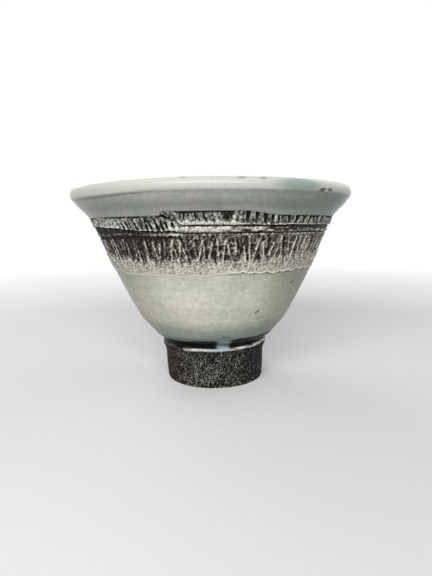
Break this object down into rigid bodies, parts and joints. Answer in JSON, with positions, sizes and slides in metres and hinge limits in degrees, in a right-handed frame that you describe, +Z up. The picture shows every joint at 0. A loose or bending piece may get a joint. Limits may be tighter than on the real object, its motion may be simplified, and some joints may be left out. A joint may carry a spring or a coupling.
{
  "type": "stoneware bowl on a foot ring",
  "caption": "Wheel-thrown stoneware bowl with a flared lip on a tall dark foot ring, pale glazed, with a band of chopped strips and scored slabs round its wall.",
  "frame": {"origin": "on the surface that the foot stands on, under the centre of the rim", "axes": "+Z up along the bowl's axis, -Y towards the side that the picture shows, +X to the right in it"},
  "size_m": [0.2, 0.2, 0.139],
  "materials": {
    "pale_glaze": "satin",
    "notched_clay": "satin",
    "rough_coil": "satin",
    "scored_clay": "satin",
    "iron_clay": "matt",
    "luting_clay": "satin"
  },
  "bodies": {
    "root": {"thrown_bowl": "pale_glaze", "foot_ring": "iron_clay", "luting_bead": "luting_clay", "notched_strip_1": "notched_clay", "notched_strip_2": "notched_clay", "notched_strip_3": "notched_clay", "notched_strip_4": "notched_clay", "notched_strip_5": "notched_clay", "notched_strip_6": "notched_clay", "ridge_coil_1": "rough_coil", "ridge_coil_2": "rough_coil", "ridge_coil_3": "rough_coil", "scored_slab_1": "scored_clay", "scored_slab_2": "scored_clay", "scored_slab_3": "scored_clay", "scored_slab_4": "scored_clay", "scored_slab_5": "scored_clay"}
  },
  "joints": []
}
